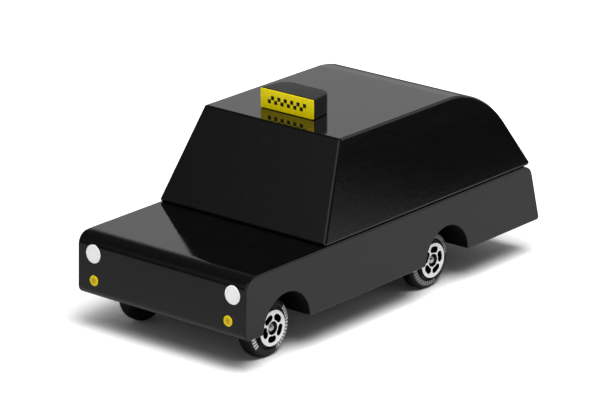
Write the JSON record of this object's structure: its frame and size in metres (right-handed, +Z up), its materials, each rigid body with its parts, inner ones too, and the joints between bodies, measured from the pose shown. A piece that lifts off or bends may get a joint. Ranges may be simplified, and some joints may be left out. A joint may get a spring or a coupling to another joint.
{
  "type": "toy taxi",
  "caption": "Palm-size lacquered wooden toy taxi with a tapered cabin, a roof sign block, printed lamps and free-turning wheels with rubber tyres and silver windowed faces.",
  "frame": {"origin": "on the floor under the middle of the lower body", "axes": "+X towards the car's left side, -Y towards the nose, +Z up"},
  "size_m": [0.042, 0.0898, 0.0418],
  "materials": {
    "black_lacquer": "gloss black lacquer over fine-grained wood",
    "beech": "bare turned dowel",
    "yellow_panel": "satin film with a plain check band",
    "white_print": "printed ink",
    "yellow_print": "printed ink",
    "carrier_plastic": "fine moulded texture",
    "screw_steel": "zinc-plated",
    "axle_steel": "bright drawn wire",
    "tyre_rubber": "matt rubber with plain pale marks",
    "hub_plastic": "moulded black",
    "silver_face": "satin silver foil"
  },
  "bodies": {
    "chassis": {"lower_body": "black_lacquer", "cab": "black_lacquer", "cab_dowels": "beech", "roof_sign": "black_lacquer", "sign_dowel": "beech", "sign_panel": "yellow_panel", "headlight_left": "white_print", "headlight_right": "white_print", "indicator_left": "yellow_print", "indicator_right": "yellow_print", "front_carrier": "carrier_plastic", "rear_carrier": "carrier_plastic", "carrier_screws": "screw_steel", "front_axle": "axle_steel", "rear_axle": "axle_steel"},
    "front_left_wheel": {"front_left_tyre": "tyre_rubber", "front_left_hub": "hub_plastic", "front_left_face": "silver_face"},
    "front_right_wheel": {"front_right_tyre": "tyre_rubber", "front_right_hub": "hub_plastic", "front_right_face": "silver_face"},
    "rear_left_wheel": {"rear_left_tyre": "tyre_rubber", "rear_left_hub": "hub_plastic", "rear_left_face": "silver_face"},
    "rear_right_wheel": {"rear_right_tyre": "tyre_rubber", "rear_right_hub": "hub_plastic", "rear_right_face": "silver_face"}
  },
  "joints": [
    {"name": "front_left_spin", "type": "hinge", "parent": "chassis", "child": "front_left_wheel", "pos_m": [0.01505, -0.0331, 0.006], "axis": [1, 0, 0], "continuous": true},
    {"name": "front_right_spin", "type": "hinge", "parent": "chassis", "child": "front_right_wheel", "pos_m": [-0.01505, -0.0331, 0.006], "axis": [1, 0, 0], "continuous": true},
    {"name": "rear_left_spin", "type": "hinge", "parent": "chassis", "child": "rear_left_wheel", "pos_m": [0.01505, 0.015, 0.006], "axis": [1, 0, 0], "continuous": true},
    {"name": "rear_right_spin", "type": "hinge", "parent": "chassis", "child": "rear_right_wheel", "pos_m": [-0.01505, 0.015, 0.006], "axis": [1, 0, 0], "continuous": true}
  ]
}
